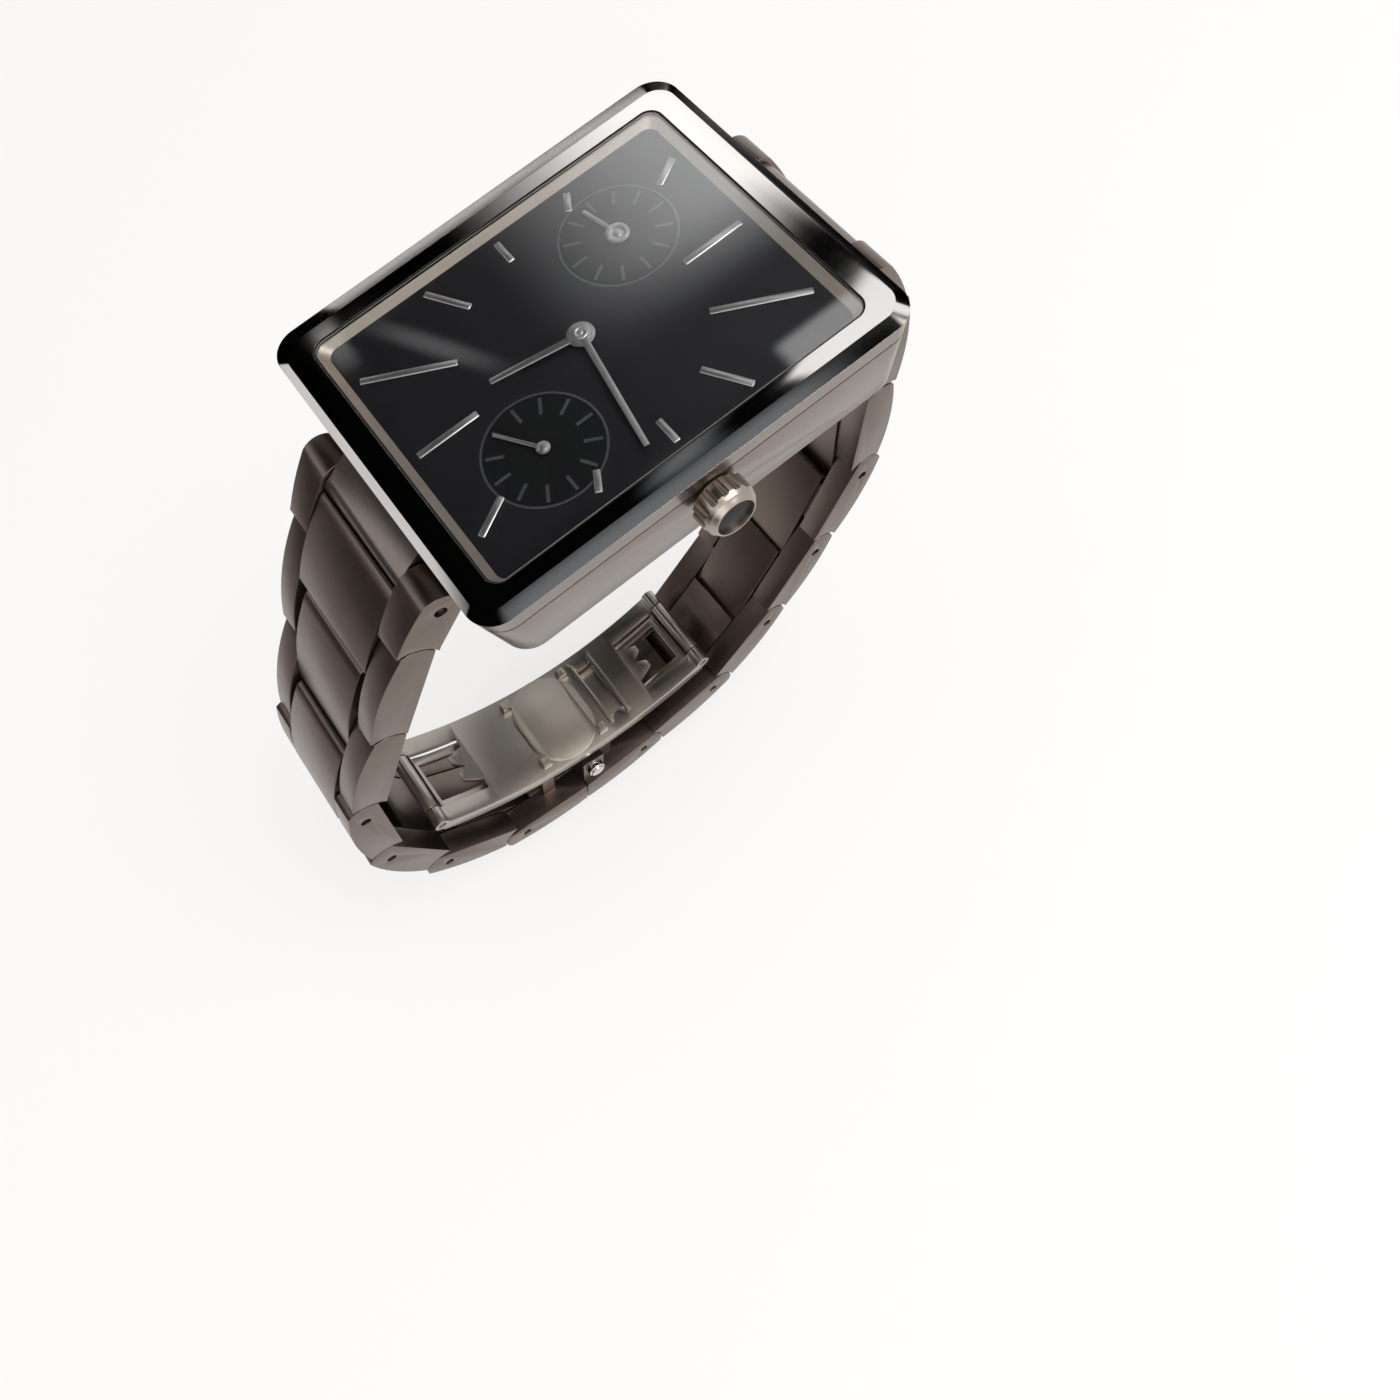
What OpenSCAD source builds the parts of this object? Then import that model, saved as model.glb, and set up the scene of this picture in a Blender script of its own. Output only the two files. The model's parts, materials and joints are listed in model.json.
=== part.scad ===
// Rectangular analog wristwatch on a three-row link bracelet, closed loop.
// Millimetres. Origin: centre of the case back's outer face. +X is 3 o'clock
// (crown), +Y is 12 o'clock, +Z is the way the dial faces.

/* [Case] */
// case size across the wrist, 9 to 3 o'clock
case_w = 34.2; // [30:0.1:38]
// case size along the bracelet, 6 to 12 o'clock
case_l = 41.3; // [38:0.1:46]
// height from the case back's face to the bezel's top
case_h = 8.8; // [7:0.1:12]
// radius of the case corners in plan
corner_r = 2.6; // [2:0.1:5]
// how far each wall leans in from the bezel down to the case back
case_draft = 0.9; // [0:0.1:1.2]
// height of the polished bezel
bezel_h = 1.8; // [1:0.05:3]
// width of the bezel's flat frame along the sides
bezel_w = 1.45; // [1:0.05:2.5]
// width of the bezel's flat frame along the 12 and 6 ends
bezel_end_w = 2; // [1:0.05:3]
// width of the shallow bevel outside the frame along the sides
bevel_w = 1.3; // [0.6:0.05:1.6]
// width of the shallow bevel along the 12 and 6 ends
bevel_end_w = 0.7; // [0.5:0.05:1.4]
// depth of the dial face below the bezel's top
dial_depth = 1.4; // [1.4:0.05:2]
// step by which the case back stands proud of the case
back_proud = 0.8; // [0.3:0.1:1.5]

/* [Crown] */
// crown diameter
crown_d = 4.9; // [3:0.1:7]
// length of the crown
crown_len = 2.7; // [2:0.1:4]
// number of grip grooves round the crown
crown_flutes = 14; // [10:1:30]
// height of the stem above the case back's face
crown_z = 5.2; // [3:0.1:7]

/* [Dial] */
// radius at which the hour batons start
marker_r = 10.4; // [8:0.1:12]
// width of an hour baton
marker_w = 0.6; // [0.3:0.05:1.2]
// radius of the small dials
sub_r = 5.2; // [3:0.1:6]
// centre of the 24-hour dial
sub_24 = [-6.2, 8.1]; // [-10:0.1:10]
// centre of the small-seconds dial
sub_sec = [6.35, -8.2]; // [-10:0.1:10]
// hour hand's direction, clockwise from 12 in degrees
hour_dir = 190; // [0:1:359]
// minute hand's direction, clockwise from 12 in degrees
minute_dir = 100; // [0:1:359]
// 24-hour hand's direction, clockwise from 12 in degrees
day_dir = 258; // [0:1:359]
// seconds hand's direction, clockwise from 12 in degrees
second_dir = 237; // [0:1:359]

/* [Bracelet] */
// pivot-to-pivot length of a link
pitch = 12.85; // [11:0.05:15]
// pivot-to-pivot length of the short link at the case
first_pitch = 8.2; // [7.5:0.1:12]
// how far the clasp's end links dip outwards from the line of their pivots
meet_drop = 1.07; // [0.3:0.01:2]
// thickness of a link
link_t = 4.2; // [3:0.1:6]
// widths of the links, case to clasp
link_w = [20, 18.6, 17.2, 15.8, 15.2, 15, 15, 15]; // [12:0.1:24]
// width of the lug in the middle of each end of the case
lug_w = 12; // [9:0.1:15]
// share of the width taken by the centre row
centre_share = 0.55; // [0.3:0.01:0.7]
// diameter of the link pins
pin_d = 1.1; // [0.8:0.05:1.6]
// link slopes on the 12 side, degrees from level, case to clasp
slope_12 = [-68.5, -93, -97, -123.5, -132, -143.5, -170.5]; // [-200:0.5:0]
// link slopes on the 6 side, degrees from level, case to clasp
slope_6 = [-46, -53, -54.5, -76, -101, -133.5]; // [-200:0.5:0]

/* [Clasp] */
// half the distance between the base plate's two knuckles
knuckle_half = 19.6; // [15:0.1:24]
// how far the knuckles lie inside the loop from the meeting point
knuckle_in = 15.2; // [10:0.1:18]
// turn of the clasp against the line of the end links, degrees
clasp_lean = -8.5; // [-15:0.5:15]
// radius of the base plate's curve
base_r = 40; // [28:0.5:60]
// half the width of the base plate
base_half = 6.4; // [4:0.1:7]
// thickness of the clasp's sheet parts
sheet_t = 0.8; // [0.5:0.05:1.2]
// diameter of the release buttons
button_d = 2.4; // [1.5:0.1:3]

/* [Fits] */
// radial clearance of a turning pin in its hole
run_fit = 0.03; // [0.01:0.01:0.1]
// gap between neighbouring links, along and across
link_gap = 0.15; // [0.05:0.01:0.4]
// gap between parts that pass each other in the case
case_gap = 0.1; // [0.05:0.01:0.3]

/* [Hidden] */
$fn = 64;
eps = 0.01;
wall_top = case_h - bezel_h;
bevel_drop = 0.15;
flat_w = case_w - 2 * bevel_w;
flat_l = case_l - 2 * bevel_end_w;
open_w = flat_w - 2 * bezel_w;
open_l = flat_l - 2 * bezel_end_w;
back_w = case_w - 2 * case_draft;
back_l = case_l - 2 * case_draft;
dial_z = case_h - dial_depth;
crystal_t = 0.6;
crystal_z = case_h - 0.05 - crystal_t;
lug_y = case_l / 2 + 1.7;
lug_z = 3.2;
half_t = link_t / 2;
shank_r = pin_d / 2;
// the back's screws stand in the corners between the opening and the wall
screw_x = open_w / 2 - 0.45;
screw_y = open_l / 2 - 0.25;

// positions of the link pivots: a list of [y, z] from the lug outwards
function walk(slopes, i = 0, at = [lug_y, lug_z]) =
    let (l = i == 0 ? first_pitch : pitch,
         next = at + l * [cos(slopes[i]), sin(slopes[i])])
    i == len(slopes) - 1 ? [at, next] : concat([at], walk(slopes, i + 1, next));
pins_12 = walk(slope_12);
pins_6 = walk(slope_6);
n_12 = len(slope_12);
n_6 = len(slope_6);

// the meeting point of the end links, from the two last pivots
last_12 = pins_12[n_12];
last_6 = [-pins_6[n_6][0], pins_6[n_6][1]];
span = last_12 - last_6;
span_len = norm(span);
clasp_tilt = atan2(span[1], span[0]);
// pivot to meeting face of the clasp's end links
end_len = norm([span_len / 2, meet_drop]);
meet = (last_12 + last_6) / 2 + meet_drop * [sin(clasp_tilt), -cos(clasp_tilt)];
end_slope_12 = atan2(meet[1] - last_12[1], meet[0] - last_12[0]);
end_slope_6 = atan2(meet[1] - last_6[1], last_6[0] - meet[0]);
base_c = knuckle_in + sqrt(base_r * base_r - knuckle_half * knuckle_half);

steel = [0.53, 0.5, 0.46];
polished = [0.72, 0.71, 0.7];
dark = [0.07, 0.07, 0.08];

// a rectangle with rounded corners, centred
module plan(w, l, r) {
    hull()
        for (sx = [-1, 1], sy = [-1, 1])
            translate([sx * (w / 2 - r), sy * (l / 2 - r)]) circle(r);
}

// a rounded rectangular block from z0 to z1
module slab(w, l, r, z0, z1) {
    translate([0, 0, z0]) linear_extrude(z1 - z0) plan(w, l, r);
}

// turns a shape drawn in the (along, outward) plane into a bar across X
module across(x0, x1) {
    translate([x0, 0, 0]) rotate([90, 0, 90]) linear_extrude(x1 - x0) children();
}

// a round bar along X at (y, z)
module rod(r, x0, x1, y = 0, z = 0) {
    translate([x0, y, z]) rotate([0, 90, 0]) cylinder(r = r, h = x1 - x0);
}

// The case

// radius of the lug's round nose, how far its top face falls, in degrees, and how
// far its neck reaches below the spring bar, clear of the turning link
lug_r = 1.75;
lug_fall = 30;
neck = 0.6;

// the case's own lug, which holds a spring bar between the link's outer rows
module lug() {
    root = case_l / 2 - 1.2;
    touch = [lug_y, lug_z] + (lug_r - 0.03) * [sin(lug_fall), cos(lug_fall)];
    difference() {
        union() {
            rod(lug_r, -lug_w / 2, lug_w / 2, lug_y, lug_z);
            across(-lug_w / 2, lug_w / 2) polygon([[root, lug_z - neck],
                [lug_y + 0.37, lug_z - neck], touch,
                [root + 0.8, touch[1] + (touch[0] - root - 0.8) * tan(lug_fall)],
                [root, touch[1] + (touch[0] - root - 0.8) * tan(lug_fall)]]);
        }
        rod(shank_r, -lug_w, lug_w, lug_y, lug_z);
    }
}

// how much narrower than at the bezel's edge the walls are, on each side, at z
function lean(z) = case_draft * (case_h - bevel_drop - z) / (case_h - bevel_drop - back_proud);

// the case's outer shape between two heights, with walls that lean in
module walls(z0, z1) {
    hull() {
        slab(case_w - 2 * lean(z0), case_l - 2 * lean(z0), corner_r, z0, z0 + eps);
        slab(case_w - 2 * lean(z1), case_l - 2 * lean(z1), corner_r, z1 - eps, z1);
    }
}

// the wall's X at the height of the crown
wall_x = case_w / 2 - lean(crown_z);

module case_middle() {
    color(steel) {
        difference() {
            walls(back_proud, wall_top - 0.15);
            slab(open_w - 3, open_l - 3, 2, back_proud + 0.8, wall_top);
            slab(open_w + 0.4, open_l + 0.4, 2, dial_z - 0.4, wall_top);
            slab(open_w - 2, open_l - 2, 2, 0, back_proud + 0.85);
            translate([wall_x, 0, crown_z]) rotate([0, 90, 0])
                cylinder(r = 0.55, h = 12, center = true);
            for (sx = [-1, 1], sy = [-1, 1])
                translate([sx * screw_x, sy * screw_y, 0]) cylinder(r = 0.5, h = 4);
        }
        slab_ring(case_w - 1, case_l - 1, open_w + 0.9, open_l + 0.9,
            wall_top - 0.16, wall_top);
        difference() {
            translate([wall_x - 0.4, 0, crown_z]) rotate([0, 90, 0])
                cylinder(r = 1.3, h = 0.6);
            translate([wall_x - 1, 0, crown_z]) rotate([0, 90, 0])
                cylinder(r = 0.55, h = 4);
        }
        for (a = [0, 180]) rotate([0, 0, a]) lug();
    }
}

// a flat rounded-rectangle ring
module slab_ring(w, l, iw, il, z0, z1) {
    translate([0, 0, z0]) linear_extrude(z1 - z0) difference() {
        plan(w, l, corner_r - 0.2);
        plan(iw, il, 1.6);
    }
}

module bezel() {
    color(polished) difference() {
        union() {
            walls(wall_top, case_h - bevel_drop);
            hull() {
                slab(case_w, case_l, corner_r, case_h - bevel_drop - eps, case_h - bevel_drop);
                slab(flat_w, flat_l, corner_r - 0.7, case_h - eps, case_h);
            }
        }
        slab(open_w, open_l, 1.4, wall_top - 1, case_h + 1);
        slab(open_w + 1.2, open_l + 1.2, 2, wall_top - 1, crystal_z - 0.1);
    }
}

module crystal() {
    color([0.8, 0.85, 0.9, 0.3])
        slab(open_w - 0.4, open_l - 0.4, 1.2, crystal_z, crystal_z + crystal_t);
}

module crystal_gasket() {
    color(dark) translate([0, 0, crystal_z]) linear_extrude(crystal_t - 0.1)
        difference() {
            plan(open_w, open_l, 1.4);
            plan(open_w - 0.4, open_l - 0.4, 1.2);
        }
}

module rehaut_ring() {
    color([0.5, 0.48, 0.46]) difference() {
        union() {
            slab(open_w, open_l, 1.4, dial_z, crystal_z);
            slab(open_w + 1.1, open_l + 1.1, 1.9, dial_z, crystal_z - 0.12);
        }
        hull() {
            slab(open_w - 1.4, open_l - 2, 1, dial_z - 0.1, dial_z);
            slab(open_w - 0.3, open_l - 0.3, 1.2, crystal_z, crystal_z + 0.1);
        }
    }
}

// The dial side

// outer end of the baton at an hour: it stops at a rectangle near the rehaut
function baton_end(h) =
    let (a = 30 * h)
    min(12.9 / max(abs(sin(a)), 0.001), 16.2 / max(abs(cos(a)), 0.001));

// the small dials cut some batons short: [inner radius, outer radius]
function baton(h) =
    h == 4 ? [12.3, 14.3] : h == 10 ? [12.9, 14.9] :
    h == 5 ? [15.1, baton_end(5)] : h == 11 ? [15.8, baton_end(11)] :
    [marker_r, baton_end(h)];

module dial() {
    color(dark) difference() {
        slab(open_w + 0.2, open_l + 0.2, 1.9, dial_z - 0.4, dial_z);
        cylinder(r = 0.8, h = 20);
        translate(sub_24) cylinder(r = 0.5, h = 20);
        translate(sub_sec) cylinder(r = 0.5, h = 20);
    }
}

// the twelve batons' outlines, widened by grow
module baton_plan(grow) {
    for (h = [1 : 12])
        rotate([0, 0, -30 * h])
            translate([-marker_w / 2 - grow, baton(h)[0] - grow])
                square([marker_w + 2 * grow, baton(h)[1] - baton(h)[0] + 2 * grow]);
}

module hour_markers() {
    color(polished) translate([0, 0, dial_z]) linear_extrude(0.14) baton_plan(0);
}

tick_w = 0.28;
tick_len = 1.5;

module subdial_rings() {
    color([0.45, 0.45, 0.46]) for (c = [sub_24, sub_sec]) {
        translate([0, 0, dial_z]) linear_extrude(0.04) difference() {
            translate(c) circle(sub_r);
            translate(c) circle(sub_r - 0.2);
            baton_plan(0.05);
        }
        for (i = [0 : 11])
            translate([c[0], c[1], dial_z]) rotate([0, 0, 30 * i])
                translate([-tick_w / 2, sub_r - 2, 0]) cube([tick_w, tick_len, 0.06]);
    }
}

// a tapered stick hand along +Y, turned to a clock direction
module hand(dir, len, w, z, hub_r, bore_r) {
    rotate([0, 0, -dir]) translate([0, 0, z]) difference() {
        union() {
            linear_extrude(0.12) polygon([[-w / 2, 0], [-w * 0.4, len], [w * 0.4, len],
                [w / 2, 0]]);
            cylinder(r = hub_r, h = 0.12);
        }
        translate([0, 0, -1]) cylinder(r = bore_r, h = 2);
    }
}

// a raised rim on a hub
module hub_rim(r, inner, h) {
    difference() {
        cylinder(r = r, h = h);
        translate([0, 0, 0.06]) cylinder(r = inner, h = h);
    }
}

wheel_sec_r = 3.4;
wheel_24_r = 2.6;
hour_z = dial_z + 0.36;
minute_z = dial_z + 0.56;
sub_hand_z = dial_z + 0.18;

module hour_hand() {
    color(polished) {
        hand(hour_dir, 8.2, 0.66, hour_z, 1.2, 0.6);
        translate([0, 0, dial_z - 0.5]) difference() {
            cylinder(r = 0.75, h = hour_z - dial_z + 0.55);
            translate([0, 0, -1]) cylinder(r = 0.6, h = 4);
        }
    }
}

module minute_hand() {
    color(polished) {
        hand(minute_dir, 12.1, 0.6, minute_z, 0.9, 0);
        translate([0, 0, dial_z - 0.55]) cylinder(r = 0.55, h = minute_z - dial_z + 0.6);
        translate([0, 0, minute_z]) hub_rim(0.62, 0.4, 0.17);
        translate([0, 0, minute_z]) cylinder(r = 0.2, h = 0.17);
    }
}

module day_hand() {
    color(polished) translate([sub_24[0], sub_24[1], 0]) {
        difference() {
            hand(day_dir, 4, 0.45, sub_hand_z, 1.05, 0.25);
            translate([0, 0, sub_hand_z + 0.04]) cylinder(r = 0.65, h = 1);
        }
        translate([0, 0, dial_z - 0.5]) cylinder(r = 0.3, h = sub_hand_z - dial_z + 0.6);
        translate([0, 0, dial_z - 0.75]) cylinder(r = wheel_24_r, h = 0.26);
    }
}

module seconds_hand() {
    color(polished) translate([sub_sec[0], sub_sec[1], 0]) {
        hand(second_dir, 4.4, 0.36, sub_hand_z, 0.6, 0);
        translate([0, 0, dial_z - 0.6]) cylinder(r = 0.3, h = sub_hand_z - dial_z + 0.65);
        translate([0, 0, sub_hand_z + 0.1]) cylinder(r1 = 0.55, r2 = 0.25, h = 0.14);
        translate([0, 0, dial_z - 0.75]) cylinder(r = wheel_sec_r, h = 0.25);
    }
}

// Inside the case

movement_r = open_w / 2 - 2.85;
movement_top = dial_z - 0.4;
movement_z = 3.1;
holder_w = open_w - 3.2;
holder_l = open_l - 3.2;

// room for the wheels on the small hands' shafts
module wheel_pocket() {
    translate([sub_sec[0], sub_sec[1], movement_top - 0.45])
        cylinder(r = wheel_sec_r + case_gap, h = 1);
    translate([sub_24[0], sub_24[1], movement_top - 0.45])
        cylinder(r = wheel_24_r + case_gap, h = 1);
}

module movement() {
    color([0.78, 0.7, 0.45]) difference() {
        union() {
            translate([0, 0, movement_z + 0.5])
                cylinder(r = movement_r, h = movement_top - movement_z - 0.5);
            translate([0, 0, movement_z]) cylinder(r = movement_r - 0.6, h = 0.6);
        }
        for (c = [[0, 0, 0.8], [sub_24[0], sub_24[1], 0.5], [sub_sec[0], sub_sec[1], 0.5]])
            translate([c[0], c[1], movement_top - 0.5]) cylinder(r = c[2], h = 2);
        translate([0, 0, movement_top - 0.6]) cylinder(r = 0.6, h = 2);
        wheel_pocket();
        translate([-4.6, -3.2, movement_z - 1]) cylinder(r = 4.85, h = 3.05);
        translate([6.5, 0, crown_z]) rotate([0, 90, 0]) cylinder(r = 0.5, h = 8);
    }
}

module movement_holder() {
    color([0.85, 0.85, 0.82]) difference() {
        slab(holder_w, holder_l, 1.8, movement_z + 0.2, movement_top);
        translate([0, 0, -1]) cylinder(r = movement_r + 0.05, h = 20);
        wheel_pocket();
        translate([8, 0, crown_z]) rotate([0, 90, 0]) cylinder(r = 0.55, h = 10);
    }
}

module battery() {
    color([0.75, 0.75, 0.76]) translate([-4.6, -3.2, movement_z + 0.05])
        cylinder(r = 4.75, h = 1.95);
}

module case_back() {
    color(steel) difference() {
        union() {
            slab(back_w - 1.6, back_l - 1.6, corner_r - 0.6, 0, back_proud);
            slab(open_w - 2.2, open_l - 2.2, 1.9, back_proud - eps, back_proud + 0.75);
        }
        slab(open_w - 4.4, open_l - 4.4, 1.6, back_proud + 0.4, back_proud + 2);
        for (sx = [-1, 1], sy = [-1, 1])
            translate([sx * screw_x, sy * screw_y, -1]) {
                cylinder(r = 0.5, h = 4);
                cylinder(r = 0.95, h = 1.4);
            }
    }
}

module back_gasket() {
    color(dark) translate([0, 0, back_proud + 0.75]) linear_extrude(0.05 + eps)
        difference() {
            plan(open_w - 2.2, open_l - 2.2, 1.9);
            plan(open_w - 3.4, open_l - 3.4, 1.5);
        }
}

module back_screws() {
    color(polished) for (sx = [-1, 1], sy = [-1, 1])
        translate([sx * screw_x, sy * screw_y, 0]) difference() {
            union() {
                translate([0, 0, 0.05]) cylinder(r = 0.9, h = 0.35);
                translate([0, 0, 0.3]) cylinder(r = 0.5, h = 3.5);
            }
            translate([-1, -0.12, -0.5]) cube([2, 0.24, 0.72]);
        }
}

// The crown

crown_x = wall_x + 0.35;

module crown() {
    color(polished) translate([crown_x, 0, crown_z]) rotate([0, 90, 0]) difference() {
        union() {
            cylinder(r = crown_d / 2 - 0.56, h = crown_len);
            translate([0, 0, 0.35]) cylinder(r = crown_d / 2, h = crown_len - 1.25);
            translate([0, 0, crown_len - 0.91]) cylinder(r1 = crown_d / 2,
                r2 = crown_d / 2 - 0.2, h = 0.46);
            translate([0, 0, crown_len - 0.46]) cylinder(r1 = crown_d / 2 - 0.2,
                r2 = crown_d / 2 - 0.55, h = 0.46);
        }
        for (i = [0 : crown_flutes - 1])
            rotate([0, 0, i * 360 / crown_flutes]) translate([crown_d / 2 + 0.12, 0, 0.2])
                cylinder(r = 0.33, h = crown_len - 1, $fn = 24);
        translate([0, 0, crown_len - 0.45]) cylinder(r = crown_d / 2 - 0.7, h = 1);
        translate([0, 0, -1]) cylinder(r = 1.4, h = 1.3);
        translate([0, 0, -1]) cylinder(r = 0.45 + run_fit, h = 3);
    }
}

module crown_inset() {
    color(dark) translate([crown_x + crown_len - 0.45, 0, crown_z]) rotate([0, 90, 0])
        cylinder(r = crown_d / 2 - 0.7, h = 0.2);
}

module stem() {
    color(polished) rod(0.45, 7.4, crown_x + 1.7, 0, crown_z);
}

module spring_bars() {
    color(polished) for (a = [0, 180])
        rotate([0, 0, a])
            rod(shank_r, 0.7 - link_w[0] / 2, link_w[0] / 2 - 0.7, lug_y, lug_z);
}

// The bracelet.
// A link is drawn along +Y from its own pin at the origin, +Z outwards.

nose_r = 3.2;
crown_arc = 30;
flat_n = 2;
outer_roll = 2.6;
centre_roll = 2;

// half width of the centre row of link i
function centre_half(i) = i == 0 ? lug_w / 2 : centre_share * link_w[i] / 2;

// a link's block between two X planes, with an arched outer face
module strip(x0, x1, y0, y1, l) {
    intersection() {
        translate([x0, y0, -flat_n]) cube([x1 - x0, y1 - y0, 2 * flat_n + 1]);
        rod(crown_arc, x0 - 1, x1 + 1, l / 2, link_t / 2 + 0.15 - crown_arc);
    }
}

// the outer rows' outline seen from above, narrowing towards the clasp
module taper(w0, w1, l) {
    translate([0, 0, -4]) linear_extrude(8) polygon([[-w0 / 2, -nose_r],
        [w0 / 2, -nose_r], [w1 / 2, l - nose_r], [w1 / 2, l + 4], [-w1 / 2, l + 4],
        [-w1 / 2, l - nose_r]]);
}

// the space behind a round nose, opening slowly towards the next pin
module behind_nose(r, half, l) {
    across(-half, half) polygon([[0, -5], [0, r], [l, r + 0.9], [l, -5]]);
}

// all that lies under a top edge rolled over with radius r from y on
module rolled(r, half, y, l) {
    union() {
        rod(r, -half, half, y + r, half_t + 0.1 - r);
        translate([-half, y + r, -6]) cube([2 * half, l, 12]);
        translate([-half, y, -6]) cube([2 * half, l, 6 + half_t + 0.1 - r]);
    }
}

// the two outer rows: a round nose at the own pin, a hollow at the next one
module outer_rows(w0, w1, l, inner, r_nose, hollow) {
    intersection() {
        taper(w0, w1, l);
        difference() {
            for (s = [-1, 1])
                intersection() {
                    strip(s > 0 ? inner : -w0 / 2, s > 0 ? w0 / 2 : -inner,
                        -r_nose, l, l - r_nose);
                    rolled(r_nose < nose_r ? 0.9 : outer_roll, w0, -r_nose, l + r_nose);
                    union() {
                        rod(r_nose, -w0, w0);
                        behind_nose(r_nose, w0, l);
                    }
                }
            if (hollow) rod(nose_r + link_gap, -w0, w0, l, 0);
        }
    }
}

// the centre row: a hollow of radius r at the own pin, whose top edge is rolled
// over from y on, and a round nose at the next pin
module centre_row(half, l, r, y) {
    difference() {
        intersection() {
            strip(-half, half, 0, l + nose_r, l + nose_r);
            rolled(centre_roll, half + 1, y, l + 2 * nose_r);
            union() {
                rod(nose_r, -half - 1, half + 1, l, 0);
                behind_nose(nose_r, half + 1, l);
            }
        }
        rod(r, -half - 1, half + 1);
    }
}

// the web inside a link that joins its three rows
module web(half, y0, y1) {
    translate([-half, y0, -1.6]) cube([2 * half, y1 - y0, 2.7]);
}

// a bracelet link: i counts from the case; open holes show the pin's ends
module link(i, open_holes) {
    w0 = link_w[i];
    inner = centre_half(i - 1) + link_gap;
    difference() {
        union() {
            outer_rows(w0, link_w[i + 1], pitch, inner, nose_r, true);
            centre_row(centre_half(i), pitch, nose_r + link_gap,
                sqrt(pow(nose_r + link_gap, 2) - half_t * half_t));
            web(inner + 0.4, nose_r + 0.7, pitch - nose_r - 0.7);
        }
        rod(shank_r + eps, open_holes ? -w0 : 1.2 - w0 / 2, open_holes ? w0 : w0 / 2 - 1.2);
        rod(shank_r + run_fit, -centre_half(i) - 1, centre_half(i) + 1, pitch, 0);
    }
}

// the short link at the case
module first_link() {
    w0 = link_w[0];
    half = centre_half(0);
    inner = half + link_gap;
    difference() {
        union() {
            outer_rows(w0, link_w[1], first_pitch, inner, half_t, true);
            centre_row(half, first_pitch, lug_r + link_gap, 0.2);
            web(inner + 0.4, half_t + link_gap, first_pitch - nose_r - 0.35);
        }
        rod(shank_r + run_fit, -w0, w0);
        rod(shank_r + run_fit, -half - 1, half + 1, first_pitch, 0);
    }
}

// the last link on a side, up to the meeting face
module end_link(i) {
    w0 = link_w[i];
    inner = centre_half(i - 1) + link_gap;
    difference() {
        union() {
            outer_rows(w0, w0, end_len + 3, inner, nose_r, false);
            difference() {
                intersection() {
                    strip(-centre_half(i), centre_half(i), 0, end_len + 3, end_len + 3);
                    rolled(centre_roll, centre_half(i) + 1,
                        sqrt(pow(nose_r + link_gap, 2) - half_t * half_t), end_len + 6);
                }
                rod(nose_r + link_gap, -20, 20);
            }
            web(inner + 0.4, nose_r + 0.7, end_len + 2);
        }
        rod(shank_r + eps, -w0, w0);
    }
}

// puts a link of one side in its place: side 12 or 6
module place(side, i) {
    p = side == 12 ? pins_12[i] : pins_6[i];
    a = side == 12 ? (i == n_12 ? end_slope_12 - (end_slope_12 > 0 ? 360 : 0) : slope_12[i])
        : (i == n_6 ? end_slope_6 : slope_6[i]);
    rotate([0, 0, side == 12 ? 0 : 180]) translate([0, p[0], p[1]]) rotate([a, 0, 0])
        children();
}

// a link pin, its ends just inside the holes
module link_pin(i, inset) {
    rod(shank_r, inset - link_w[i] / 2, link_w[i] / 2 - inset);
}

module first_link_12() { color(steel) place(12, 0) first_link(); }
module link_12_1() { color(steel) place(12, 1) link(1, false); }
module link_12_2() { color(steel) place(12, 2) link(2, false); }
module link_12_3() { color(steel) place(12, 3) link(3, true); }
module link_12_4() { color(steel) place(12, 4) link(4, true); }
module link_12_5() { color(steel) place(12, 5) link(5, true); }
module link_12_6() { color(steel) place(12, 6) link(6, true); }
module first_link_6() { color(steel) place(6, 0) first_link(); }
module link_6_1() { color(steel) place(6, 1) link(1, false); }
module link_6_2() { color(steel) place(6, 2) link(2, false); }
module link_6_3() { color(steel) place(6, 3) link(3, true); }
module link_6_4() { color(steel) place(6, 4) link(4, true); }
module link_6_5() { color(steel) place(6, 5) link(5, true); }

module pin_12_1() { color(polished) place(12, 1) link_pin(1, 1.25); }
module pin_12_2() { color(polished) place(12, 2) link_pin(2, 1.25); }
module pin_12_3() { color(polished) place(12, 3) link_pin(3, 0.8); }
module pin_12_4() { color(polished) place(12, 4) link_pin(4, 0.8); }
module pin_12_5() { color(polished) place(12, 5) link_pin(5, 0.8); }
module pin_12_6() { color(polished) place(12, 6) link_pin(6, 0.8); }
module pin_12_7() { color(polished) place(12, 7) link_pin(7, 0.8); }
module pin_6_1() { color(polished) place(6, 1) link_pin(1, 1.25); }
module pin_6_2() { color(polished) place(6, 2) link_pin(2, 1.25); }
module pin_6_3() { color(polished) place(6, 3) link_pin(3, 0.8); }
module pin_6_4() { color(polished) place(6, 4) link_pin(4, 0.8); }
module pin_6_5() { color(polished) place(6, 5) link_pin(5, 0.8); }
module pin_6_6() { color(polished) place(6, 6) link_pin(7, 0.8); }

// The clasp.
// Drawn at the meeting point: +Y along the 12 side's half, +Z into the loop.

module at_clasp() {
    translate([0, meet[0], meet[1]]) rotate([clasp_tilt + clasp_lean, 0, 0]) children();
}

arm_half = 4;
arm_pin_y = 4.6;
// the arm's pin lies just outside the arm's own curve
arm_mid_r = base_r + sheet_t + 0.25;
arm_pin_z = base_c - sqrt(arm_mid_r * arm_mid_r - arm_pin_y * arm_pin_y) - 0.9;
arm_pin_r = 0.4;
knuckle_r = 0.95;
knuckle_pin_r = 0.5;
box_half = 6.6;
button_z = arm_pin_z - 3;
box_z = 1.2;
box_top = button_z + button_d / 2 + 0.4;
box_len = 3.2;
button_y = 1.75;

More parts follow.
